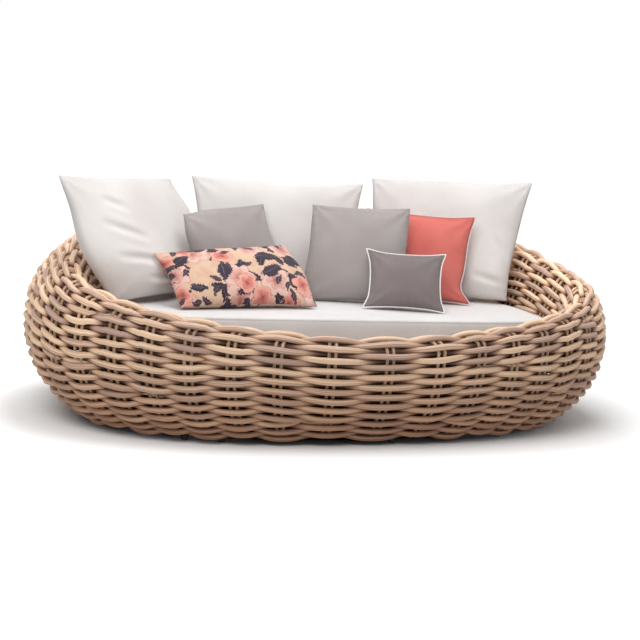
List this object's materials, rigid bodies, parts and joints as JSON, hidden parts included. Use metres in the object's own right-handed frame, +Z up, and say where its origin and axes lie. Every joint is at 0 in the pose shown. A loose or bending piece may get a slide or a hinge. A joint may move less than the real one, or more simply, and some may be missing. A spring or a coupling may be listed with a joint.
{
  "type": "round daybed",
  "caption": "Oval woven daybed: a thick wicker roll, low in front and high behind, round a seat cushion with loose cushions.",
  "frame": {"origin": "on the floor, under the middle of the overall box", "axes": "+Z up, -Y towards the sitter's feet (front), +X to the right of someone who faces it"},
  "size_m": [2.298, 1.2661, 0.9365],
  "materials": {
    "wicker": "thick round woven strand, sand and tan",
    "stake": "thin round stake",
    "frame": "powder-coated tube",
    "glide": "moulded glide",
    "seat_fabric": "plain outdoor weave, off-white",
    "cream_fabric": "plain outdoor weave, cream",
    "taupe_fabric": "plain weave, taupe grey",
    "floral_fabric": "printed flowers on a peach ground",
    "coral_fabric": "plain weave, coral",
    "slate_fabric": "plain weave, slate grey",
    "piping": "corded piping, pale"
  },
  "bodies": {
    "root": {"outer_weave": "wicker", "inner_weave": "wicker", "base_ring": "frame", "rim_ring": "frame", "deck_ring": "frame", "floor_rails": "frame", "deck_rails": "frame", "deck_slats": "frame", "deck_posts": "frame", "glides": "glide", "front_stakes": "stake", "right_stakes": "stake", "back_stakes": "stake", "left_stakes": "stake"},
    "seat": {"seat_cushion": "seat_fabric"},
    "back_left": {"back_cushion_left": "cream_fabric"},
    "back_middle": {"back_cushion_middle": "cream_fabric"},
    "back_right": {"back_cushion_right": "cream_fabric"},
    "grey_left": {"grey_cushion_left": "taupe_fabric"},
    "grey_right": {"grey_cushion_right": "taupe_fabric"},
    "floral": {"floral_cushion": "floral_fabric"},
    "coral": {"coral_cushion": "coral_fabric", "coral_piping": "piping"},
    "small": {"small_cushion": "slate_fabric", "small_piping": "piping"}
  },
  "joints": [
    {"name": "seat_lift", "type": "slide", "parent": "root", "child": "seat", "axis": [0, 0, 1], "range_m": [0, 0.5]},
    {"name": "back_left_lift", "type": "slide", "parent": "seat", "child": "back_left", "axis": [-0.2068, 0.2296, 0.9511], "range_m": [0, 0.56]},
    {"name": "back_middle_lift", "type": "slide", "parent": "seat", "child": "back_middle", "axis": [0.0157, 0.2244, 0.9744], "range_m": [0, 0.56]},
    {"name": "back_right_lift", "type": "slide", "parent": "seat", "child": "back_right", "axis": [0.0943, 0.259, 0.9613], "range_m": [0, 0.58]},
    {"name": "grey_left_lift", "type": "slide", "parent": "seat", "child": "grey_left", "axis": [-0.0984, 0.221, 0.9703], "range_m": [0, 0.5]},
    {"name": "grey_right_lift", "type": "slide", "parent": "seat", "child": "grey_right", "axis": [0.0582, 0.2522, 0.9659], "range_m": [0, 0.5]},
    {"name": "floral_lift", "type": "slide", "parent": "seat", "child": "floral", "axis": [0, 0, 1], "range_m": [0, 0.5]},
    {"name": "coral_lift", "type": "slide", "parent": "seat", "child": "coral", "axis": [0.1033, 0.2556, 0.9613], "range_m": [0, 0.5]},
    {"name": "small_lift", "type": "slide", "parent": "seat", "child": "small", "axis": [0, 0, 1], "range_m": [0, 0.45]}
  ]
}
